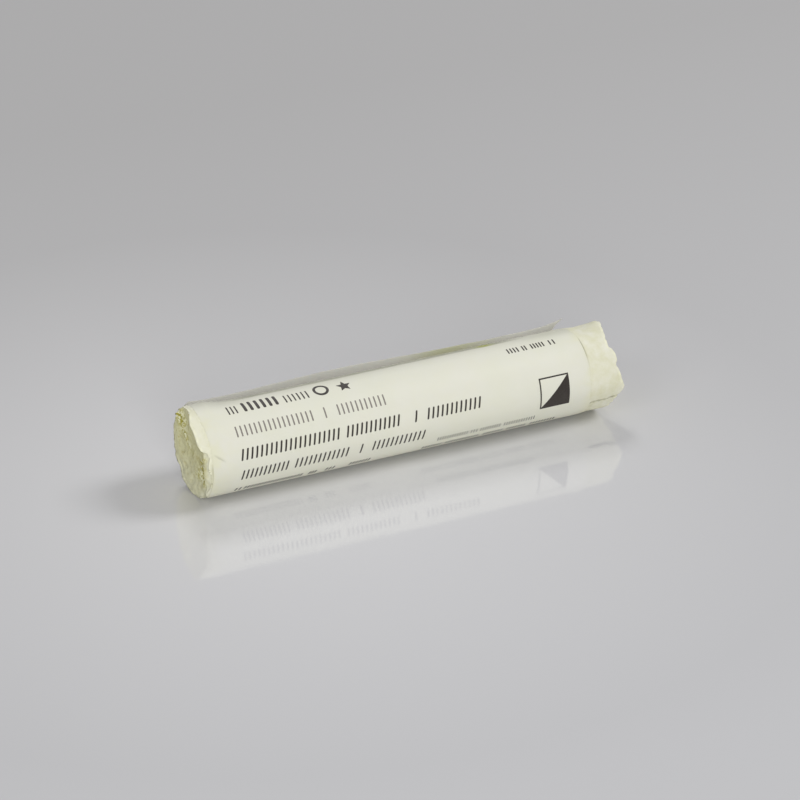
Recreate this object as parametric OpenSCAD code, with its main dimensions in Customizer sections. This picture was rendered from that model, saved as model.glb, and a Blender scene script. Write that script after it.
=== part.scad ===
// Round soft pastel stick in its paper wrapper, lying on its side.
// X runs along the stick, Y points to its back, Z points up, in millimetres.
// Both ends of the pastel are broken. The wrapper goes once round the stick and
// laps over itself up the back, where its outer long edge has come loose.

/* [Pastel stick] */
// Diameter of the pastel
stick_d = 11.5; // [8:0.1:16]
// Length between the furthest points of the two broken ends, crumbs aside
stick_l = 61.6; // [58:0.1:90]
// Crumbs standing out of the broken faces
crumb = 0.16; // [0:0.01:0.3]
// How far the middle of the left face lies behind its furthest point
left_hollow = 1.5; // [0.5:0.1:3]
// How far the middle of the right face lies behind its furthest point
right_hollow = 1.9; // [0.5:0.1:3]

/* [Crack at the right end] */
// Length of the crack, from the broken face inwards
crack_l = 5.2; // [2:0.1:8]
// Width of the crack at the surface
crack_w = 0.34; // [0.1:0.02:0.6]
// Depth of the crack
crack_depth = 1.1; // [0.3:0.1:2]
// Where the crack lies round the stick, from the back over the top
crack_angle = 203.5; // [195:0.5:215]

/* [Paper wrapper] */
// Thickness of the paper
paper_t = 0.1; // [0.08:0.01:0.2]
// Play between the pastel and the strip of paper pressed flat under it
strip_play = 0.02; // [0.01:0.01:0.05]
// Length of the wrapper along the stick
label_l = 54.5; // [40:0.1:56]
// Bare pastel between the furthest left point and the wrapper
bare_left = 1.7; // [1:0.1:2.5]
// How far the loose stretch reaches over from the back, where it leaves the stick
edge_angle = 58; // [40:1:75]
// Gap under the loose edge
edge_gap = 0.6; // [0.3:0.05:1]
// How much the gap swells and shrinks along the edge
edge_wave = 0.1; // [0:0.01:0.2]
// Extra gap where the edge is bent out at its right corner
right_curl = 0.7; // [0:0.05:1.2]
// Extra gap where the edge is bent out at its left corner
left_curl = 0.3; // [0:0.05:0.8]

/* [Hidden] */
$fn = 96;
eps = 0.01;

stick_r = stick_d / 2;
layer_1 = stick_r + paper_t;
layer_2 = layer_1 + paper_t;
left_x = -stick_l / 2;
right_x = stick_l / 2;
label_x = left_x + bare_left;

// Under the stick the paper is pressed into a flat strip, on which the stick rests.
// The strip starts where the paper leaves the stick, at the front, and ends where it bridges
// the step of its own inner long edge, at the back. Turns are counted from straight down.
strip_in = stick_r + strip_play;
strip_out = strip_in + paper_t;
back_turn = acos(strip_in / layer_1);
front_turn = back_turn + acos(stick_r / layer_1);
strip_half = sqrt(layer_1 * layer_1 - strip_in * strip_in);
axis_z = strip_out;

// Where the broken rims lie behind the furthest point, in pairs of angle and depth
left_rim = [
    [0, 1.1], [60, 0.9], [90, 1.0], [102, 0.5], [114, 0.05], [122, 0], [137, 0.15], [148, 0.5],
    [155, 0.95], [190, 1.0], [200, 1.3], [212, 1.65], [235, 1.6], [270, 1.2], [300, 0.95], [360, 1.1]
];
right_rim = [
    [0, 1.0], [35, 0.5], [72, 0], [88, 0.55], [104, 1.3], [127, 1.6], [135, 1.2], [146, 1.0],
    [157, 1.1], [165, 0.8], [176, 0.3], [190, 0.05], [197, 0.45], [203, 0.9], [216, 0.9],
    [223, 1.7], [240, 2.4], [270, 2.6], [300, 2.1], [330, 1.5], [360, 1.0]
];

// The broken faces are reliefs on rings of points. The outermost ring is past the wall.
// From the middle the depth runs to the rim's depth, the faster the nearer to the rim.
break_sides = 45;
break_rings = [0, 0.24, 0.46, 0.68, 0.9, 1.12];
break_rim_ring = 0.95;
break_steepness = 2.5;
break_cap = 2;

// The loose stretch of paper is a grid of points along and round the stick. Its gap grows
// away from the back, swells and shrinks along the edge, and is larger near the corners.
edge_stations = 48;
edge_steps = 8;
edge_lift = 1.4;
corner_l = 1.4;
corner_turn = 4;
wave_l = 44;
wave_x = 23;

function mix(a, b, t) = a + (b - a) * t;

// Turns local X, Y, Z to Y, Z, X, so that an angle counts from the back over the top
module along_stick(x) translate([x, 0, axis_z]) rotate([90, 0, 90]) children();

// Everything past one broken face. The face points along +X with its furthest point at X = 0.
module past_break(rim, hollow, seed) {
    rings = len(break_rings) - 1;
    grains = rands(-1, 1, rings * break_sides + 1, seed);
    function depth(ring, side) =
        let (share = pow(min(break_rings[ring] / break_rim_ring, 1), break_steepness),
             rim_depth = lookup(360 * side / break_sides, rim))
        mix(hollow, rim_depth, share) + crumb * (grains[(ring - 1) * break_sides + side + 1] + 1) / 2;
    function ring_point(ring, side, x) =
        let (a = 360 * side / break_sides, r = stick_r * break_rings[ring])
        [x, r * cos(a), r * sin(a)];
    relief = [for (ring = [1:rings], side = [0:break_sides - 1])
        ring_point(ring, side, -depth(ring, side))];
    cap = [for (side = [0:break_sides - 1]) ring_point(rings, side, break_cap)];
    points = concat([[-hollow, 0, 0]], relief, cap);
    function at(ring, side) = 1 + (ring - 1) * break_sides + side % break_sides;
    sides = [0:break_sides - 1];
    polyhedron(points, concat(
        [for (s = sides) [0, at(1, s), at(1, s + 1)]],
        [for (ring = [1:rings - 1], s = sides) [at(ring, s), at(ring + 1, s + 1), at(ring, s + 1)]],
        [for (ring = [1:rings - 1], s = sides) [at(ring, s), at(ring + 1, s), at(ring + 1, s + 1)]],
        [for (s = sides) [at(rings, s), at(rings + 1, s + 1), at(rings, s + 1)]],
        [for (s = sides) [at(rings, s), at(rings + 1, s), at(rings + 1, s + 1)]],
        [for (s = [1:break_sides - 2]) [at(rings + 1, 0), at(rings + 1, s + 1), at(rings + 1, s)]]
    ));
}

// A groove that narrows to its bottom, along the lower front of the right end
module crack() {
    along_stick(right_x - crack_l) rotate([0, 0, crack_angle])
        linear_extrude(crack_l + eps)
            polygon([[stick_r - crack_depth, 0], [stick_r + eps, -crack_w / 2], [stick_r + eps, crack_w / 2]]);
}

module pastel_stick() {
    color("#e6e5b6") difference() {
        along_stick(left_x) cylinder(r = stick_r, h = stick_l);
        translate([right_x, 0, axis_z]) past_break(right_rim, right_hollow, 11);
        translate([left_x, 0, axis_z]) mirror([1, 0, 0]) past_break(left_rim, left_hollow, 23);
        crack();
    }
}

// Section of the wrapper where it lies tight: once round the stick from the inner long edge
// to the flat strip, then a second layer up the back
module tight_section() {
    function under(r, turn) = [r * sin(turn), -r * cos(turn)];
    strip_corner = strip_half + paper_t * tan(front_turn / 2);
    seat_turn = 3;
    difference() {
        union() {
            circle(layer_1);
            polygon([
                [0, 0], under(layer_1, -front_turn), [-strip_corner, -strip_out], [strip_half, -strip_out],
                under(layer_1 + paper_t / 2, back_turn + seat_turn)
            ]);
            intersection() {
                circle(layer_2);
                polygon([[0, 0], under(2 * layer_2, back_turn), 2 * [layer_2, -layer_2], [2 * layer_2, 0]]);
            }
        }
        circle(stick_r);
        polygon([[0, 0], under(stick_r, -front_turn), [-strip_half, -strip_in], [strip_half, -strip_in]]);
    }
}

// The loose stretch of the outer layer, one sheet that curls away from the stick
module loose_edge() {
    stations = edge_stations;
    steps = edge_steps;
    function from_left(i) = label_l * i / stations;
    function gap(d) = edge_gap + edge_wave * cos(360 * (d - wave_x) / wave_l)
        + right_curl * exp((d - label_l) / corner_l) + left_curl * exp(-d / corner_l / 2);
    function turn(d) = edge_angle + corner_turn * exp((d - label_l) / corner_l);
    function point(side, i, j) =
        let (d = from_left(i), u = j / steps, a = turn(d) * u,
             r = layer_1 + gap(d) * pow(u, edge_lift) + side * paper_t)
        [r * cos(a), r * sin(a), d];
    points = [for (side = [0, 1], i = [0:stations], j = [0:steps]) point(side, i, j)];
    function at(side, i, j) = (side * (stations + 1) + i) * (steps + 1) + j;
    function quad(a, b, c, d) = [[a, b, c], [a, c, d]];
    polyhedron(points, concat(
        [for (i = [0:stations - 1], j = [0:steps - 1])
            each quad(at(0, i, j), at(0, i, j + 1), at(0, i + 1, j + 1), at(0, i + 1, j))],
        [for (i = [0:stations - 1], j = [0:steps - 1])
            each quad(at(1, i, j), at(1, i + 1, j), at(1, i + 1, j + 1), at(1, i, j + 1))],
        [for (i = [0:stations - 1])
            each quad(at(0, i, 0), at(0, i + 1, 0), at(1, i + 1, 0), at(1, i, 0))],
        [for (i = [0:stations - 1])
            each quad(at(0, i, steps), at(1, i, steps), at(1, i + 1, steps), at(0, i + 1, steps))],
        [for (j = [0:steps - 1])
            each quad(at(0, 0, j), at(1, 0, j), at(1, 0, j + 1), at(0, 0, j + 1))],
        [for (j = [0:steps - 1])
            each quad(at(0, stations, j), at(0, stations, j + 1), at(1, stations, j + 1), at(1, stations, j))]
    ));
}

module paper_label() {
    color("#e4e3d8") along_stick(label_x) {
        linear_extrude(label_l) tight_section();
        loose_edge();
    }
}

pastel_stick();
paper_label();
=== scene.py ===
import bpy
import math
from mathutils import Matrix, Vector, noise
from mathutils.bvhtree import BVHTree


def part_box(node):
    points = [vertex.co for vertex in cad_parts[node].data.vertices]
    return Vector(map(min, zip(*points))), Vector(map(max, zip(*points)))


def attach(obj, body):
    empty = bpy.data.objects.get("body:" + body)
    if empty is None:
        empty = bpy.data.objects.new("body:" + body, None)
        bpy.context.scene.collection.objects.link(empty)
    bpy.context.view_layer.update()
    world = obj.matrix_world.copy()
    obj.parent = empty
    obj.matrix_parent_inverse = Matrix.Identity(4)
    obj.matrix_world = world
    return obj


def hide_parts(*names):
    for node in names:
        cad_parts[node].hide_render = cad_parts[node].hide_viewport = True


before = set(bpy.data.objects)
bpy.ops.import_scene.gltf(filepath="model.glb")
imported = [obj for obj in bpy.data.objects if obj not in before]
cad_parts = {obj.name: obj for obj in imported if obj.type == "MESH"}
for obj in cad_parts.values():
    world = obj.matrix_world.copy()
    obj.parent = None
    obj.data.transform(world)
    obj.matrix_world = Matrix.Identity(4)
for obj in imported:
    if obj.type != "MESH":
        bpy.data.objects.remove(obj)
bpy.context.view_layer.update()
mm = 0.001

# Pastel: one pressed stick of chalk and lemon pigment. Both ends are snapped, so their faces are
# rough and their rims uneven, and a crack runs in from the right rim. It is lathed ring by ring,
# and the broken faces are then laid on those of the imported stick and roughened.
stick_low, stick_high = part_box("pastel_stick")
paper_low, paper_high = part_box("paper_label")
stick_r = (stick_high.y - stick_low.y) / 2
axis_z = stick_high.z - stick_r
columns = 288
face_rings = 44
ring_step = stick_r / (face_rings + 0.5)
under_paper = 0.6 * mm
left_fine = round((paper_low.x + under_paper - stick_low.x) / ring_step)
right_fine = round((stick_high.x - paper_high.x + under_paper) / ring_step)
swell_l = 7.5 * mm
swell_rings = 14
swell_step = swell_l / swell_rings
long_step = stick_high.x - stick_low.x - (left_fine + right_fine) * ring_step - swell_l


def deselect():
    if bpy.context.mode != "OBJECT":
        bpy.ops.object.mode_set(mode="OBJECT")
    bpy.ops.object.select_all(action="DESELECT")


def finish_modifier(kind, **settings):
    bpy.ops.object.modifier_add(type=kind)
    modifier = bpy.context.object.modifiers[-1]
    for name, value in settings.items():
        setattr(modifier, name, value)
    bpy.ops.object.modifier_apply(modifier=modifier.name)


def select_by(test):
    """Selects the vertices of the active mesh, which is in edit mode, that pass a test."""
    bpy.ops.mesh.select_all(action="DESELECT")
    bpy.ops.object.mode_set(mode="OBJECT")
    for vertex in bpy.context.object.data.vertices:
        vertex.select = test(vertex)
    bpy.ops.object.mode_set(mode="EDIT")


def turn_of(co):
    """Angle round the stick, counted from its back over its top, and distance from its axis."""
    return math.atan2(co.z - axis_z, co.y) % math.tau, math.hypot(co.y, co.z - axis_z)


def smooth(low, high, value):
    """Rises softly from 0 at low to 1 at high, which may lie below low."""
    share = min(max((value - low) / (high - low), 0), 1)
    return share * share * (3 - 2 * share)


def within(span, value):
    """1 in a span, fading softly at its ends: where it begins, is full, is last full, and ends."""
    begins, full, last_full, ends = span
    return smooth(begins, full, value) * smooth(ends, last_full, value)


def bell(at, reach, value):
    """1 at one place, falling off on both sides of it."""
    return math.exp(-((value - at) / reach) ** 2)


def fading(reach, distance):
    """1 at an edge, falling off away from it."""
    return math.exp(-distance / reach)


deselect()
bpy.ops.mesh.primitive_circle_add(
    vertices=columns, radius=stick_r, fill_type="NGON",
    location=(stick_low.x, 0, axis_z), rotation=(0, -math.pi / 2, 0),
)
pastel = bpy.context.object
pastel.name = "pastel"
bpy.ops.object.transform_apply(location=True, rotation=True, scale=True)
bpy.ops.object.mode_set(mode="EDIT")
bpy.ops.mesh.select_mode(type="VERT")
for ring in range(face_rings):
    bpy.ops.mesh.inset(thickness=ring_step, depth=0)
bpy.ops.mesh.poke()
select_by(lambda vertex: turn_of(vertex.co)[1] > stick_r - ring_step / 2)
left_steps = [ring_step] * left_fine + [swell_step] * swell_rings
for step in left_steps + [long_step] + [ring_step] * right_fine:
    bpy.ops.mesh.extrude_edges_move(TRANSFORM_OT_translate={"value": (step, 0, 0)})
bpy.ops.mesh.edge_face_add()
for ring in range(face_rings):
    bpy.ops.mesh.inset(thickness=ring_step, depth=0)
bpy.ops.mesh.poke()
bpy.ops.mesh.select_all(action="SELECT")
bpy.ops.mesh.normals_make_consistent(inside=False)
bpy.ops.object.mode_set(mode="OBJECT")

# The broken faces. end is -1 at the left end and 1 at the right one.
crack_turn = math.radians(203.8)
crack_half = math.radians(3.2)
evened_over = 0.6 * mm
evened_samples = 9
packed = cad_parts["pastel_stick"].data
packed_stick = BVHTree.FromPolygons(
    [vertex.co for vertex in packed.vertices],
    [polygon.vertices for polygon in packed.polygons],
)


def packed_face(end, turn, r):
    """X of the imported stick's broken face at that place."""
    reach = min(r, 0.985 * stick_r)
    start = Vector((end * 2 * stick_high.x, reach * math.cos(turn), axis_z + reach * math.sin(turn)))
    return packed_stick.ray_cast(start, Vector((-end, 0, 0)))[0].x


def bridged_face(end, turn, r):
    """The same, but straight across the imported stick's crack."""
    away = (turn - crack_turn) / crack_half
    if end < 0 or abs(away) > 1:
        return packed_face(end, turn, r)
    before = packed_face(end, crack_turn - crack_half, r)
    after = packed_face(end, crack_turn + crack_half, r)
    return before + (after - before) * (away + 1) / 2


def evened_face(end, turn, r):
    """The same, with the fan of facets round the middle evened out."""
    spread = evened_over * smooth(0.7 * stick_r, 0.4 * stick_r, r)
    if spread == 0:
        return bridged_face(end, turn, r)
    reach = min(spread / max(r, ring_step), math.pi)
    shares = [2 * i / (evened_samples - 1) - 1 for i in range(evened_samples)]
    return sum(bridged_face(end, turn + reach * share, r) for share in shares) / evened_samples


face_group = pastel.vertex_groups.new(name="broken_faces")
for vertex in pastel.data.vertices:
    turn, r = turn_of(vertex.co)
    for end, face_x in ((-1, stick_low.x), (1, stick_high.x)):
        if abs(vertex.co.x - face_x) < ring_step / 4:
            vertex.co.x = evened_face(end, turn, r)
            face_group.add([vertex.index], 1, "REPLACE")
finish_modifier(
    "SMOOTH", factor=0.5, iterations=5, vertex_group="broken_faces", use_y=False, use_z=False,
)

# The fronts of the rims: degrees round the stick, and millimetres behind the rim's tip.
rim_from = 0.84 * stick_r
notch = 0.3 * mm
notch_l = 2.1 * mm
course_holds = {-1: 0.85, 1: 0.6}
rim_tip = {-1: stick_low.x - 0.21 * mm, 1: stick_high.x}
rim_course = {
    -1: (
        (84, 1.05), (102, 0.4), (110, 0.12), (142, 0.15), (149, 0.36), (153, 1.04), (159, 1.31),
        (168, 0.99), (176, 0.96), (184, 1.29), (197, 1.38), (207, 1.28), (218, 1.02), (232, 1.3),
    ),
    1: (
        (72, 0), (78, 0.17), (94, 0.7), (109, 1.1), (122, 1.36), (130, 1.47), (134, 1.03),
        (141, 0.75), (150, 0.84), (156, 1.05), (166, 0.58), (175, 0.4), (188, 0), (194, 0.13),
        (202, 0.6), (209, 0.76), (214, 1.1), (220, 1.6),
    ),
}


def course_x(end, degrees):
    """X of the front of a rim, between the places that its course names."""
    course = rim_course[end]
    for (before, near), (after, far) in zip(course, course[1:]):
        if before <= degrees <= after:
            behind = near + (far - near) * (degrees - before) / (after - before)
            return rim_tip[end] - end * behind * mm
    return None


def column_of(turn):
    return round(turn / math.tau * columns) % columns


rims = {-1: {}, 1: {}}
for vertex in pastel.data.vertices:
    if not vertex.groups:
        continue
    turn, r = turn_of(vertex.co)
    degrees = math.degrees(turn)
    end = -1 if vertex.co.x < 0 else 1
    on_rim = Vector((math.cos(turn), math.sin(turn), 2 * end)) * stick_r
    chipped = abs(noise.fractal(on_rim / notch_l, 0.7, 2.1, 2))
    first = rim_course[end][0][0]
    last = rim_course[end][-1][0]
    held = within((first, first + 8, last - 10, last), degrees)
    if held > 0 and r > rim_from:
        pulled = held * smooth(rim_from, 0.97 * stick_r, r)
        vertex.co.x += pulled * (course_x(end, degrees) - vertex.co.x)
        chipped *= 1 - course_holds[end] * held
    vertex.co.x -= end * notch * chipped * smooth(0.8 * stick_r, stick_r, r)
    if r > stick_r - ring_step / 2:
        rims[end][column_of(turn)] = vertex.co.x

# Grain, pits and crumbs on the faces. The left one has a smooth pale facet with a lip at its
# front. A heap of loose crumbs is given by degrees round the stick, share of the way out, reach in
# millimetres and depth. The right face has the same heaps, two radians further round.
grain = 0.12 * mm
grain_l = 1.7 * mm
crumb = 0.05 * mm
crumb_l = 0.6 * mm
dust_l = 0.17 * mm
pit = 0.04 * mm
pit_l = 0.55 * mm
loose_crumb = 0.45 * mm
loose_crumb_l = 0.36 * mm
chalk_edge = 0.4 * mm
facet_span = (143, 158, 240, 262)
facet_grain = 0.16 * mm
facet_grain_l = 0.7 * mm
lip_span = (143, 165, 225, 248)
lip = 0.4 * mm
lip_out = 0.8
lip_w = 0.1
heaps_on = 2.0
crumb_heaps = (
    (46, 0.9, 1.3, 1.3), (89, 1.0, 0.5, 1.2), (29, 0.55, 0.9, 0.7), (19, 0.27, 0.8, 0.4),
    (309, 0.09, 0.7, 0.35), (213, 0.58, 1.2, 1.3), (183, 0.4, 0.7, 0.8), (165, 0.75, 0.7, 0.8),
    (250, 0.47, 0.7, 0.5),
)


def loose_at(turn, r):
    """How thickly loose crumbs lie at a place on a broken face, 0 to 1."""
    place = Vector((r * math.cos(turn), r * math.sin(turn)))
    thick = 0
    for degrees, out, reach, depth in crumb_heaps:
        way = Vector((math.cos(math.radians(degrees)), math.sin(math.radians(degrees))))
        thick += depth * bell(0, reach * mm, (place - way * out * stick_r).length)
    return min(thick, 1)


def face_relief(r, place):
    """How far the grain and the crumbs stand out of a broken face."""
    rough = 1 - 0.5 * smooth(0.9 * stick_r, stick_r, r)
    lump = noise.fractal(place / grain_l, 1.0, 2.1, 2)
    kernel = 0.42 - noise.voronoi(place / crumb_l)[0][0]
    return rough * (grain * lump + crumb * kernel + 0.2 * grain * noise.noise(place / dust_l))


# The skin: chipped at the rims, with a bank of dust against the paper, a dip and a lump at the top
# of the right end, and a crack with a flake sunk below it. The top of the left end stands up.
tight_in = 0.5 * mm
worn_l = 0.5 * mm
chip = 0.22 * mm
chip_l = 0.8 * mm
nick_l = 0.3 * mm
worn_patch_l = 0.9 * mm
pale_band = (85, 105, 150, 165)
skin_in = 0.03 * mm
skin_grain = 0.035 * mm
dust_bank = 0.1 * mm
dust_bank_l = 0.5 * mm
right_gap_span = (102, 113, 126, 150)
right_gap_out = 0.13 * mm
left_gap_span = (165, 178, 205, 225)
left_gap_out = 0.1 * mm
gap_w = 0.12 * mm
left_swell = 0.55 * mm
swell_turn = math.radians(72)
swell_half = math.radians(45)
swell_full = 2 * mm
top_dip = 0.16 * mm
dip_x = 27.3 * mm
dip_l = 1.1 * mm
dip_degrees = 80
dip_half = 28
top_lump = 0.22 * mm
lump_x = 29.9 * mm
lump_l = 0.6 * mm
lump_degrees = 74
lump_half = 10
crack_from = paper_high.x + 0.3 * mm
crack_tip_x = 30.1 * mm
crack_hook = math.radians(4.8)
crack_lean = math.radians(2.2)
crack_wander = math.radians(3.2)
crack_wander_l = 0.75 * mm
crack_w = 0.4 * mm
crack_depth = 1.1 * mm
flake_span = (0, 0.2 * mm, 1.2 * mm, 2.2 * mm)
flake_sunk = 0.13 * mm


def swell_at(x, turn):
    """How far the top of the stick's left end stands up, out of its round."""
    off_top = turn - swell_turn
    round_top = math.cos(2 * off_top) ** 2 if abs(off_top) < swell_half else 0
    along = max(0, min(1, (paper_low.x + swell_l - x) / (swell_l - swell_full)))
    return left_swell * round_top * along ** 2


def crack_at(x):
    """Turn of the crack at a place along the stick. It hooks at the rim and wanders."""
    hooked = crack_hook * (1 - math.exp((x - crack_tip_x) / mm)) - crack_lean
    return crack_turn + hooked + crack_wander * noise.noise(Vector((x / crack_wander_l, 0, 7)))


loose_grain = []
rim_chalk = []
crevice = []
for vertex in pastel.data.vertices:
    turn, r = turn_of(vertex.co)
    degrees = math.degrees(turn)
    end = -1 if vertex.co.x < 0 else 1
    rim_x = rims[end][column_of(turn)]
    face_x = stick_low.x if end < 0 else stick_high.x
    tight_x = paper_low.x + tight_in if end < 0 else paper_high.x - tight_in
    if not vertex.groups and end * (vertex.co.x - tight_x) > 0:
        share = (vertex.co.x - tight_x) / (face_x - tight_x)
        vertex.co.x = tight_x + share * (rim_x - tight_x)
    place = vertex.co.copy()
    if vertex.groups:
        worn = smooth(stick_r - 2.5 * ring_step, stick_r, r)
        loose = loose_at(turn if end < 0 else turn + heaps_on, r)
        pitted = smooth(0.28, 0.42, noise.noise(place / pit_l))
        pitted *= smooth(0.85 * stick_r, 0.7 * stick_r, r)
        chalk_r = r + chalk_edge * noise.noise(place / worn_patch_l)
        chalky = smooth(0.8 * stick_r, 0.95 * stick_r, chalk_r)
        out = face_relief(r, place) - pit * pitted
        if end < 0:
            below = smooth(axis_z - 0.5 * mm, axis_z - 4.5 * mm, place.z)
            facet = within(facet_span, degrees)
            chalky = min(1, chalky * (0.2 + 0.8 * facet) + 0.5 * below)
            out -= facet_grain * facet * chalky * noise.fractal(place / facet_grain_l, 0.8, 2.1, 2)
            lipped = bell(lip_out, lip_w, r / stick_r) - 0.5 * smooth(0.85 * stick_r, stick_r, r)
            out += lip * within(lip_span, degrees) * lipped
        piled = smooth(0.25, 0.8, loose)
        out += loose_crumb * piled * (0.5 - noise.voronoi(place / loose_crumb_l)[0][0])
        vertex.co.x += end * out
    else:
        worn = 1 - smooth(0, worn_l, abs(place.x - rim_x))
        loose = worn * (0.3 + 0.7 * smooth(0, 0.3, noise.noise(place / worn_patch_l)))
        loose += 0.2 * within(pale_band, degrees) if end < 0 else 0
        pitted = 0
        chalky = 1
    past_paper = end * (vertex.co.x - tight_x) - tight_in
    bare = smooth(-0.3 * mm, 0.3 * mm, past_paper)
    nicks = max(0, noise.noise(place / chip_l)) + 0.5 * max(0, noise.noise(place / nick_l))
    sunk = chip * worn * nicks + skin_in
    sunk -= bare * (skin_in + skin_grain * noise.fractal(place / grain_l, 0.8, 2.0, 3))
    right_gap = within(right_gap_span, degrees) if end > 0 else 0
    banked = smooth(-0.12 * mm, 0.06 * mm, past_paper) * fading(dust_bank_l, max(0, past_paper))
    banked *= (1 - right_gap) * (1 - worn) * (0.8 + 0.5 * noise.noise(place / dust_bank_l))
    sunk -= dust_bank * banked + swell_at(vertex.co.x, turn)
    sunk += top_dip * bare * bell(dip_x, dip_l, place.x) * bell(dip_degrees, dip_half, degrees)
    sunk -= top_lump * bare * bell(lump_x, lump_l, place.x) * bell(lump_degrees, lump_half, degrees)
    off_crack = (turn - crack_at(place.x)) * stick_r
    along_crack = smooth(crack_from - 0.3 * mm, crack_from + 0.8 * mm, vertex.co.x)
    cut = max(0, 1 - abs(off_crack) / (crack_w / 2)) * (r / stick_r) ** 8
    sunk += along_crack * (crack_depth * cut + flake_sunk * within(flake_span, off_crack))
    # Painted shade: the crack, a thin line along the gap at the paper's edge and the pits are darkened
    # in colour.
    if end < 0:
        gap_line = 0.5 * within(left_gap_span, degrees) * bell(left_gap_out, gap_w, past_paper)
    else:
        gap_line = right_gap * bell(right_gap_out, gap_w, past_paper)
    crack_line = max(0, 1 - abs(off_crack) / (0.7 * crack_w))
    crack_line *= along_crack * smooth(0.8 * stick_r, stick_r, r)
    loose_grain.append(min(1, max(0, loose)))
    rim_chalk.append(chalky)
    crevice.append(min(1, 0.65 * gap_line + 1.4 * crack_line + 0.3 * pitted))
    scale = (r - sunk * smooth(0.6 * stick_r, stick_r, r)) / r if r > 0 else 1
    vertex.co.y *= scale
    vertex.co.z = axis_z + (vertex.co.z - axis_z) * scale
for name, values in (("loose_grain", loose_grain), ("rim_chalk", rim_chalk), ("crevice", crevice)):
    pastel.data.attributes.new(name, "FLOAT", "POINT").data.foreach_set("value", values)
bpy.ops.object.shade_smooth()


def new_material(name, roughness, specular):
    """A material and its shader, with functions that feed, add and blend its nodes."""
    material = bpy.data.materials.new(name)
    material.use_nodes = True
    nodes = material.node_tree.nodes
    links = material.node_tree.links
    shader = nodes["Principled BSDF"]
    shader.inputs["Roughness"].default_value = roughness
    shader.inputs["Specular IOR Level"].default_value = specular

    def feed(node, sockets):
        for key, value in sockets.items():
            if isinstance(value, bpy.types.NodeSocket):
                links.new(value, node.inputs[key])
            else:
                node.inputs[key].default_value = value

    def add(kind, sockets=None, **settings):
        node = nodes.new(kind)
        for key, value in settings.items():
            setattr(node, key, value)
        feed(node, sockets or {})
        return node

    def blend(share, colour_0, colour_1, **settings):
        """A colour between two. The share is a socket or the name of the piece's attribute."""
        if isinstance(share, str):
            share = add("ShaderNodeAttribute", attribute_name=share).outputs["Fac"]
        sockets = {"Factor": share, "A": colour_0, "B": colour_1}
        return add("ShaderNodeMix", sockets, data_type="RGBA", **settings).outputs["Result"]

    return material, shader, feed, add, blend


def linear(red, green, blue):
    """A colour as written on a screen, 0 to 255, as the shader's own numbers."""
    parts = [part / 255 for part in (red, green, blue)]
    return [part / 12.92 if part <= 0.04045 else ((part + 0.055) / 1.055) ** 2.4 for part in parts] + [1]


pressed_skin, shader, feed, add, blend = new_material("pressed_skin", roughness=0.9, specular=0.2)
place = add("ShaderNodeTexCoord").outputs["Object"]
cloud = add("ShaderNodeTexNoise", {"Vector": place, "Scale": 620, "Detail": 5, "Roughness": 0.65})
powder = add("ShaderNodeTexNoise", {"Vector": place, "Scale": 5200, "Detail": 3, "Roughness": 0.7})
skin = blend(cloud.outputs["Fac"], linear(212, 210, 166), linear(245, 244, 236))
skin = blend("loose_grain", skin, linear(248, 247, 218))
# Painted shade in the crack, along the paper's edge and in the pits.
skin = blend("crevice", skin, linear(138, 136, 98))
height = {"Height": powder.outputs["Fac"], "Strength": 0.35, "Distance": 0.04 * mm}
feed(shader, {"Base Color": skin, "Normal": add("ShaderNodeBump", height).outputs["Normal"]})

broken_chalk, shader, feed, add, blend = new_material("broken_chalk", roughness=0.95, specular=0.2)
place = add("ShaderNodeTexCoord").outputs["Object"]
cloud = add("ShaderNodeTexNoise", {"Vector": place, "Scale": 700, "Detail": 4, "Roughness": 0.65})


def shaded_grains(scale, channel, dark, light):
    """Relief and colour of grains that are each of one shade, from a dark one to a light one."""
    grains = add("ShaderNodeTexVoronoi", {"Vector": place, "Scale": scale})
    grain_shade = add("ShaderNodeSeparateColor", {"Color": grains.outputs["Color"]})
    ramp = add("ShaderNodeValToRGB", {"Fac": grain_shade.outputs[channel]})
    for stop, (colour, position) in zip(ramp.color_ramp.elements, (dark, light)):
        stop.color = colour
        stop.position = position
    return grains.outputs["Distance"], ramp.outputs["Color"]


grain_relief, grain_colour = shaded_grains(
    4600, "Red", (linear(196, 184, 112), 0.03), (linear(221, 218, 170), 0.3),
)
crumb_colour = shaded_grains(
    2900, "Green", (linear(184, 176, 84), 0.4), (linear(252, 252, 216), 0.6),
)[1]
chalk = blend(cloud.outputs["Fac"], grain_colour, linear(226, 224, 184))
chalk = blend("rim_chalk", chalk, linear(231, 230, 203))
chalk = blend("loose_grain", chalk, crumb_colour)
# Painted shade in the crack, along the paper's edge and in the pits.
chalk = blend("crevice", chalk, linear(176, 166, 104))
height = {"Height": grain_relief, "Strength": 0.5, "Distance": 0.04 * mm}
feed(shader, {"Base Color": chalk, "Normal": add("ShaderNodeBump", height).outputs["Normal"]})

pastel.data.materials.append(pressed_skin)
pastel.data.materials.append(broken_chalk)
in_face = [bool(vertex.groups) for vertex in pastel.data.vertices]
for polygon in pastel.data.polygons:
    polygon.material_index = int(all(in_face[i] for i in polygon.vertices))
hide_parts("pastel_stick")
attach(pastel, "root")

# Paper wrapper: thin off-white label paper rolled once round the stick from the bottom, pressed
# flat where the stick lies on it, and lapped up the back. The paste has let go along the outer
# long edge, which stands away from the top of the back.
paper_t = stick_low.y - paper_low.y
paper_l = paper_high.x - paper_low.x
layer_1 = stick_r + paper_t / 2
layer_2 = layer_1 + 1.1 * paper_t
strip_half = math.sqrt((stick_r + paper_t) ** 2 - (axis_z - paper_t) ** 2)
strip_turn = math.asin(strip_half / (stick_r + paper_t))
inner_edge = 1.5 * math.pi + strip_turn
strip_from = 1.5 * math.pi - 2 * strip_turn
seat_turn = math.radians(3)
length_steps = 130
left_fine_l = 2.6 * mm
flap_turn = math.radians(58)


def on_wall(r, turn):
    return Vector((0, r * math.cos(turn), axis_z + r * math.sin(turn)))


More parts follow.
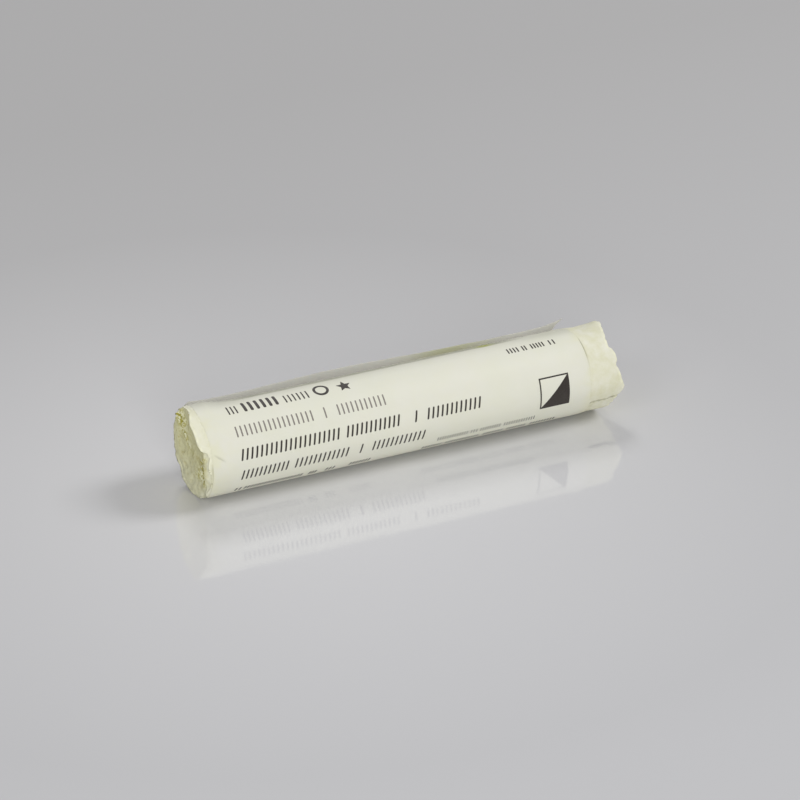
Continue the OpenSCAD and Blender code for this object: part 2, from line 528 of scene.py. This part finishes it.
def roll_on(degrees_from, degrees_to, step=3.0):
    """Spins the selected edge round the stick's axis."""
    turn = degrees_to - degrees_from
    steps = max(1, round(abs(turn) / step))
    bpy.ops.mesh.spin(steps=steps, angle=-math.radians(turn), center=(0, 0, axis_z), axis=(1, 0, 0))


def fold_on(where, to):
    """Extrudes the selected edge from one place in the section to the next, and gives that place."""
    bpy.ops.mesh.extrude_edges_move(TRANSFORM_OT_translate={"value": to - where})
    return to


deselect()
start = on_wall(layer_1, inner_edge)
bpy.ops.mesh.primitive_grid_add(
    x_subdivisions=length_steps, y_subdivisions=1, size=1,
    location=((paper_low.x + paper_high.x) / 2, start.y + 0.5 * mm, start.z),
)
wrapper = bpy.context.object
wrapper.name = "paper_wrapper"
wrapper.scale = (paper_l, mm, 1)
bpy.ops.object.transform_apply(location=True, rotation=True, scale=True)
bpy.ops.object.mode_set(mode="EDIT")
select_by(lambda vertex: vertex.co.y > start.y + 0.5 * mm)
bpy.ops.mesh.delete(type="VERT")
select_by(lambda vertex: vertex.co.x < paper_low.x + left_fine_l)
bpy.ops.mesh.subdivide(number_cuts=2)
bpy.ops.mesh.select_all(action="SELECT")
roll_on(math.degrees(inner_edge), 360 + 150)
roll_on(150, 176, step=1.0)
roll_on(176, math.degrees(strip_from))
place = on_wall(layer_1, strip_from)
place = fold_on(place, Vector((0, -strip_half, paper_t / 2)))
place = fold_on(place, Vector((0, 0, paper_t / 2)))
place = fold_on(place, Vector((0, strip_half, paper_t / 2)))
place = fold_on(place, on_wall(layer_2, inner_edge + seat_turn))
roll_on(math.degrees(inner_edge + seat_turn), 360)
select_by(lambda vertex: vertex.co.y > 0.9995 * layer_2)
roll_on(0, math.degrees(flap_turn), step=2.0)
bpy.ops.mesh.select_all(action="SELECT")
bpy.ops.mesh.normals_make_consistent(inside=False)
bpy.ops.object.mode_set(mode="OBJECT")

# The loose stretch curls away, and its corners are bent and worn. The right edge of the tight
# paper lifts, and its left end is creased. Chalk dusts both ends. Painted shade darkens the paper
# under the loose edge, near its lifted corners and in the crease, and a smear lies at the edge's foot.
# Spans are in degrees round the stick, or along it.
flap_gap = 0.68 * mm
flap_lift = 1.4
flap_wave = 0.1 * mm
flap_wave_l = 44 * mm
flap_ripple = 0.06 * mm
flap_ripple_l = 3.1 * mm
flap_hump = 0.22 * mm
hump_x = -8 * mm
hump_l = 9 * mm
flap_wave_x = 23 * mm
right_curl = 0.55 * mm
left_curl = 0.3 * mm
corner_l = 1.4 * mm
corner_turn = math.radians(4)
worn_corner = 0.7 * mm
drawn_corner = 0.5 * mm
right_lift = 0.16 * mm
right_lift_l = 0.8 * mm
right_lift_span = (90, 112, 150, 165)
buckle = 0.012 * mm
buckle_l = 3.5 * mm
buckle_span = (20, 60, 200, 235)
crease_depth = 0.13 * mm
crease_half = 0.16 * mm
crease_from_x = -28.7 * mm
crease_to_x = -27.5 * mm
crease_from_degrees = 159
crease_to_degrees = 168
dust_patch_l = 2.2 * mm
left_dust_l = 1.1 * mm
right_dust_l = 0.6 * mm
shade_x_span = (-27 * mm, -20 * mm, 14 * mm, 21 * mm)
shade_patch_l = 1.3 * mm
smear_x = 13.2 * mm
smear_l = 1.1 * mm
smear_span = (58, 59, 76, 80)
flap_smear_x = 9 * mm
flap_smear_l = 5 * mm
thinned_l = 0.15 * mm

dust_on_paper = []
under_edge = []
see_through = []
smear = []
full_thickness = wrapper.vertex_groups.new(name="full_thickness")
for vertex in wrapper.data.vertices:
    turn, r = turn_of(vertex.co)
    degrees = math.degrees(turn)
    place = vertex.co.copy()
    from_left = place.x - paper_low.x
    from_right = paper_high.x - place.x
    thickness = 1 - 0.6 * fading(thinned_l, min(from_left, from_right))
    patchy = smooth(-0.35, 0.35, noise.fractal(place / dust_patch_l, 0.7, 2.0, 3))
    dust = 0.9 * fading(left_dust_l, from_left) + 0.8 * fading(right_dust_l, from_right)
    dust *= 1 - swell_at(place.x, turn) / left_swell
    # Painted shade: the paper under the loose edge and its lifted corners is darkened in colour.
    shade = smooth(80, 74, degrees) * (0.8 + 0.2 * smooth(64, 71, degrees))
    shade *= within(shade_x_span, place.x)
    far_out = smooth(16 * mm, 23 * mm, place.x) + smooth(-20 * mm, -26 * mm, place.x)
    shade += 0.3 * smooth(100, 82, degrees) * far_out
    shade *= smooth(30, 45, degrees) * (0.85 + 0.15 * noise.noise(place / shade_patch_l))
    if r > layer_2 - paper_t / 4 and turn < flap_turn + 0.01:
        share = turn / flap_turn
        free = 0.8 * smooth(4, 38, degrees)
        smeared = 0.4 * bell(flap_smear_x, flap_smear_l, place.x) * smooth(30, 45, degrees)
        thickness = 1 - 0.7 * smooth(0.9, 1, share)
        gap = flap_gap + flap_hump * bell(hump_x, hump_l, place.x)
        gap += flap_wave * math.cos(math.tau * (from_left - flap_wave_x) / flap_wave_l)
        gap += flap_ripple * noise.noise(Vector((place.x / flap_ripple_l, 0, 3)))
        gap += right_curl * fading(corner_l, from_right) + left_curl * fading(2 * corner_l, from_left)
        turn = share * (flap_turn + corner_turn * fading(corner_l, from_right))
        vertex.co.x += worn_corner * smooth(0.55, 1, share) * fading(worn_corner, from_left)
        vertex.co.x += drawn_corner * smooth(0.6, 1, share) * fading(drawn_corner, from_right)
        vertex.co.yz = on_wall(r + gap * share ** flap_lift, turn).yz
    else:
        free = 0
        smeared = bell(smear_x, smear_l, place.x) * within(smear_span, degrees)
        if degrees < buckle_span[-1]:
            out = swell_at(place.x, turn)
            lifted = fading(right_lift_l, from_right) * within(right_lift_span, degrees)
            buckled = noise.noise(place / buckle_l) * within(buckle_span, degrees)
            out += right_lift * lifted + buckle * buckled
            along = (place.x - crease_from_x) / (crease_to_x - crease_from_x)
            crease_degrees = crease_from_degrees + along * (crease_to_degrees - crease_from_degrees)
            if -0.2 < along < 1.2:
                folded = bell(0, crease_half, math.radians(degrees - crease_degrees) * r)
                folded *= math.sin(math.pi * (along + 0.2) / 1.4)
                out -= crease_depth * folded
                # Painted shade in the crease.
                shade += 0.4 * folded
            vertex.co.yz = on_wall(r + out, turn).yz
    dust_on_paper.append(min(1, dust * (0.5 + patchy) + 0.15 * patchy))
    under_edge.append(shade)
    see_through.append(free)
    smear.append(smeared)
    full_thickness.add([vertex.index], thickness, "REPLACE")
for name, values in (
    ("dust_on_paper", dust_on_paper),
    ("under_edge", under_edge),
    ("see_through", see_through),
    ("smear", smear),
):
    wrapper.data.attributes.new(name, "FLOAT", "POINT").data.foreach_set("value", values)
deselect()
wrapper.select_set(True)
bpy.context.view_layer.objects.active = wrapper
finish_modifier(
    "SOLIDIFY", thickness=paper_t, offset=0, use_even_offset=True, vertex_group="full_thickness",
)
bpy.ops.object.shade_smooth_by_angle(angle=math.radians(40))


def paper_stock(name):
    """A material and the colour of the bare label paper, with the chalk faintly showing through."""
    stock, shader, feed, add, blend = new_material(name, roughness=0.5, specular=0.35)
    place = add("ShaderNodeTexCoord").outputs["Object"]
    fibres = {"Vector": place, "Scale": 3000, "Detail": 3, "Roughness": 0.6}
    showing = {"Vector": place, "Scale": 150, "Detail": 3, "Roughness": 0.5}
    height = add("ShaderNodeTexNoise", fibres).outputs["Fac"]
    bump = add("ShaderNodeBump", {"Height": height, "Strength": 0.15, "Distance": 0.03 * mm})
    feed(shader, {"Normal": bump.outputs["Normal"]})
    share = add("ShaderNodeTexNoise", showing).outputs["Fac"]
    bare = blend(share, linear(234, 232, 220), linear(226, 227, 209))
    return stock, shader, feed, add, blend, bare


label_paper, shader, feed, add, blend, label = paper_stock("label_paper")
label = blend("dust_on_paper", label, linear(230, 229, 204))
# Painted shade under the loose edge, near its lifted corners and in the crease.
label = blend("under_edge", label, linear(168, 168, 150))
label = blend("smear", label, linear(176, 180, 98))
feed(shader, {"Base Color": label})

# The loose stretch has no chalk behind it, so light comes through it and it looks greyer.
loose_paper, shader, feed, add, blend, flap = paper_stock("loose_paper")
let_go = add("ShaderNodeAttribute", attribute_name="see_through").outputs["Fac"]
feed(shader, {"Base Color": blend(let_go, flap, linear(233, 232, 228))})
through_colour = blend("smear", linear(243, 242, 237), linear(214, 216, 160))
through = add("ShaderNodeBsdfTranslucent", {"Color": through_colour})
layers = {"Fac": let_go, 1: shader.outputs["BSDF"], 2: through.outputs["BSDF"]}
thin = add("ShaderNodeMixShader", layers)
feed(loose_paper.node_tree.nodes["Material Output"], {"Surface": thin.outputs["Shader"]})

wrapper.data.materials.append(label_paper)
wrapper.data.materials.append(loose_paper)
thinned = wrapper.data.attributes["see_through"].data
for polygon in wrapper.data.polygons:
    polygon.material_index = int(any(thinned[i].value > 0 for i in polygon.vertices))
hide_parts("paper_label")
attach(wrapper, "root")

# Print: one colour of ink on the paper. Rows of short strokes as long as words stand for its
# lines, with a plain ring, a five-point star and a half-filled square. It is laid out flat in
# front of the stick, in millimetres from the stick's middle and axis, and rolled on like the paper.
ink_lift = 0.004 * mm
ink_t = 0.006 * mm
flat_y = -(stick_r + paper_t + ink_lift)
inks = {"dark": (44, 38, 33), "pale": (122, 116, 109)}
marks = {"dark": [], "pale": []}


def lay_out(tint, x, height):
    """Stands the active flat shape up in front of the stick and keeps it as a mark of that tint."""
    mark = bpy.context.object
    mark.location = (x * mm, flat_y, axis_z + height * mm)
    mark.rotation_euler = (math.pi / 2, 0, 0)
    bpy.ops.object.transform_apply(location=True, rotation=True, scale=True)
    marks[tint].append(mark)


def word(tint, start, end, baseline, height, stroke_w, pitch, lean):
    """A row of upright strokes with rounded ends, as long as a word."""
    deselect()
    bpy.ops.mesh.primitive_grid_add(x_subdivisions=1, y_subdivisions=4, size=mm)
    stroke = bpy.context.object
    stroke.scale = (stroke_w, height, 1)
    bpy.ops.object.transform_apply(scale=True)
    bpy.ops.object.mode_set(mode="EDIT")
    select_by(lambda vertex: abs(vertex.co.y) > 0.49 * height * mm)
    bpy.ops.mesh.bevel(offset=0.45 * stroke_w * mm, segments=3, affect="VERTICES")
    bpy.ops.object.mode_set(mode="OBJECT")
    for vertex in stroke.data.vertices:
        vertex.co.x += lean * vertex.co.y
    row_l = end - start - stroke_w
    count = max(1, round(row_l / pitch) + 1)
    step = row_l / (count - 1) if count > 1 else 0
    finish_modifier(
        "ARRAY", count=count, use_relative_offset=False, use_constant_offset=True,
        constant_offset_displace=(step * mm, 0, 0),
    )
    lay_out(tint, start + stroke_w / 2, baseline + height / 2)


# Tint, baseline, height, stroke width, pitch and lean of each line, and where its words run.
for tint, baseline, height, stroke_w, pitch, lean, words in (
    ("dark", 7.3, 1.5, 0.2, 0.62, 0, ((-25.1, -23.8), (-17.1, -13.8))),
    ("dark", 7.3, 1.9, 0.42, 0.86, 0, ((-22.9, -18.1),)),
    ("pale", 3.9, 1.5, 0.2, 0.64, 0, ((-25.2, -14.5), (-12.8, -12.6), (-10.9, -4.2))),
    ("dark", 0.8, 1.55, 0.25, 0.66, 0.2, ((-25.1, -11.4), (-10.3, -2.8), (-0.5, -0.3), (1.3, 9.0))),
    ("dark", -2.1, 1.5, 0.22, 0.64, 0.2, ((-25.1, -18.7), (-17.6, -10.2), (-8.4, -8.2), (-6.6, 0.8))),
    ("dark", -4.8, 0.9, 0.22, 0.46, 0.2, (
        (-25.6, -24.8), (-24.3, -16.2), (-15.2, -14.2), (-12.8, -11.6), (-9.4, -6.5),
    )),
    ("dark", 7.35, 1.0, 0.2, 0.42, 0, ((15.1, 16.7), (17.3, 17.9), (18.6, 20.5), (21.3, 22.1))),
    ("dark", -3.3, 0.75, 0.12, 0.36, 0, ((3.0, 7.4), (7.9, 8.8), (9.3, 12.2), (12.8, 17.3))),
    ("dark", -5.0, 0.8, 0.2, 0.42, 0, (
        (1.2, 4.0), (4.6, 9.4), (10.2, 13.0), (13.7, 16.4), (17.2, 20.8),
    )),
):
    for start, end in words:
        word(tint, start, end, baseline, height, stroke_w, pitch, lean)

ring_r = 1.08
ring_w = 0.36
deselect()
bpy.ops.mesh.primitive_circle_add(vertices=48, radius=ring_r * mm, fill_type="NGON")
bpy.ops.object.mode_set(mode="EDIT")
bpy.ops.mesh.select_all(action="SELECT")
bpy.ops.mesh.inset(thickness=ring_w * mm)
bpy.ops.mesh.delete(type="ONLY_FACE")
bpy.ops.object.mode_set(mode="OBJECT")
lay_out("dark", -11.85, 8.3)

star_r = 1.05
star_waist = 0.46
deselect()
bpy.ops.mesh.primitive_circle_add(vertices=10, radius=star_r * mm, fill_type="TRIFAN")
bpy.ops.object.mode_set(mode="EDIT")
select_by(lambda vertex: vertex.index % 2 == 0 and vertex.co.length > star_r * mm / 2)
bpy.ops.transform.resize(value=(star_waist, star_waist, 1))
bpy.ops.mesh.select_all(action="SELECT")
bpy.ops.mesh.subdivide(number_cuts=3)
bpy.ops.object.mode_set(mode="OBJECT")
lay_out("dark", -8.63, 8.15)

square_w = 4.4
square_line = 0.2
for filled in (False, True):
    deselect()
    bpy.ops.mesh.primitive_grid_add(x_subdivisions=1, y_subdivisions=1, size=square_w * mm)
    bpy.ops.object.mode_set(mode="EDIT")
    bpy.ops.mesh.select_all(action="SELECT")
    if filled:
        bpy.ops.mesh.subdivide(number_cuts=11)
        bpy.ops.mesh.bisect(plane_co=(0, 0, 0), plane_no=(-1, 1, 0), clear_outer=True)
    else:
        bpy.ops.mesh.inset(thickness=square_line * mm)
        bpy.ops.mesh.delete(type="ONLY_FACE")
        bpy.ops.mesh.select_all(action="SELECT")
        bpy.ops.mesh.subdivide(number_cuts=11)
    bpy.ops.object.mode_set(mode="OBJECT")
    lay_out("dark", 20.0, 0.7)

for tint, tinted in marks.items():
    deselect()
    for mark in tinted:
        mark.select_set(True)
    bpy.context.view_layer.objects.active = tinted[0]
    bpy.ops.object.join()
    ink_print = bpy.context.object
    ink_print.name = f"{tint}_print"
    bpy.context.scene.cursor.location = (0, flat_y, axis_z)
    bpy.ops.object.origin_set(type="ORIGIN_CURSOR")
    heights = [vertex.co.z for vertex in ink_print.data.vertices]
    rolled = (max(heights) - min(heights)) / -flat_y
    finish_modifier("SIMPLE_DEFORM", deform_method="BEND", deform_axis="X", angle=rolled)
    bpy.ops.object.transform_apply(location=True, rotation=True, scale=True)
    for vertex in ink_print.data.vertices:
        turn, r = turn_of(vertex.co)
        vertex.co.yz = on_wall(r + swell_at(vertex.co.x, turn), turn).yz
    finish_modifier("SHRINKWRAP", target=wrapper, wrap_mode="ABOVE_SURFACE", offset=ink_lift)
    finish_modifier("SOLIDIFY", thickness=ink_t, offset=1)
    ink, shader, feed, add, blend = new_material(f"{tint}_ink", roughness=0.5, specular=0.5)
    place = add("ShaderNodeTexCoord").outputs["Object"]
    patchy = add("ShaderNodeTexNoise", {"Vector": place, "Scale": 4000, "Detail": 2})
    thinner = [part + 22 for part in inks[tint]]
    feed(shader, {"Base Color": blend(patchy.outputs["Fac"], linear(*inks[tint]), linear(*thinner))})
    ink_print.data.materials.clear()
    ink_print.data.materials.append(ink)
    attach(ink_print, "root")

# Floor: a smooth pale grey table top with a soft reflection. Painted light in its colour makes it a
# little darker to the back and away from the stick: a painted falloff and a painted pool of light. It
# isn't part of the object.
deselect()
bpy.ops.mesh.primitive_plane_add(size=6, location=(0, 0, paper_low.z))
floor = bpy.context.object
floor.name = "floor"
table_top, shader, feed, add, blend = new_material("table_top", roughness=0.07, specular=1.0)
place = add("ShaderNodeTexCoord").outputs["Object"]
depth = add("ShaderNodeSeparateXYZ", {"Vector": place}).outputs["Y"]
# Painted light: darker to the back, and a painted pool of light round the stick.
painted_falloff = add("ShaderNodeMapRange", {"Value": depth, "From Min": -0.08, "From Max": 0.12})
painted_light_pool = add("ShaderNodeVectorMath", {0: place, 1: (-0.018, 0.004, 0)}, operation="DISTANCE")
reach = {"Value": painted_light_pool.outputs["Value"], "From Min": 0.02, "From Max": 0.075}
away = add("ShaderNodeMapRange", reach)
top = blend(painted_falloff.outputs["Result"], linear(230, 230, 232), linear(212, 211, 211))
top = blend(away.outputs["Result"], top, linear(235, 235, 235), blend_type="MULTIPLY")
feed(shader, {"Base Color": top})
floor.data.materials.append(table_top)

# Light: a main lamp high on the right, a low one before the stick, weak ones behind it and to
# its left, and a dim grey room round it all. The table top doesn't mirror the low lamp.
def lamp(name, at, width, watts):
    deselect()
    bpy.ops.object.light_add(type="AREA", location=at)
    light = bpy.context.object
    light.name = name
    light.data.shape = "SQUARE"
    light.data.size = width
    light.data.energy = watts
    light.visible_camera = False
    light.rotation_euler = (-Vector(at)).to_track_quat("-Z", "Y").to_euler()
    return light


lamp("main_lamp", (0.59, -0.18, 0.61), 0.3, 2.8)
low_front_lamp = lamp("low_front_lamp", (-0.25, -0.75, 0.2), 0.35, 2.87)
low_front_lamp.visible_glossy = False
lamp("back_lamp", (0.1, 0.5, 0.6), 0.22, 1.5)
lamp("left_lamp", (-0.42, -0.25, 0.35), 0.25, 0.45)
room = bpy.data.worlds.new("room")
room.use_nodes = True
room.node_tree.nodes["Background"].inputs["Color"].default_value = (0.25, 0.25, 0.255, 1)
bpy.context.scene.world = room

# Camera: a long lens that looks down on the stick from its left front and aims a little above
# its middle.
camera_turn = math.radians(-25.95)
camera_rise = math.radians(26.97)
camera_distance = 461.6 * mm
aim = Vector((0, 0, 7.14 * mm))
back = Vector((
    math.sin(camera_turn) * math.cos(camera_rise),
    -math.cos(camera_turn) * math.cos(camera_rise),
    math.sin(camera_rise),
))
bpy.ops.object.camera_add(location=aim + camera_distance * back)
camera = bpy.context.object
camera.rotation_euler = (-back).to_track_quat("-Z", "Y").to_euler()
camera.data.sensor_width = 36
camera.data.lens = 158.2
camera.data.clip_start = 0.01
bpy.context.scene.camera = camera
bpy.context.scene.view_settings.view_transform = "Standard"
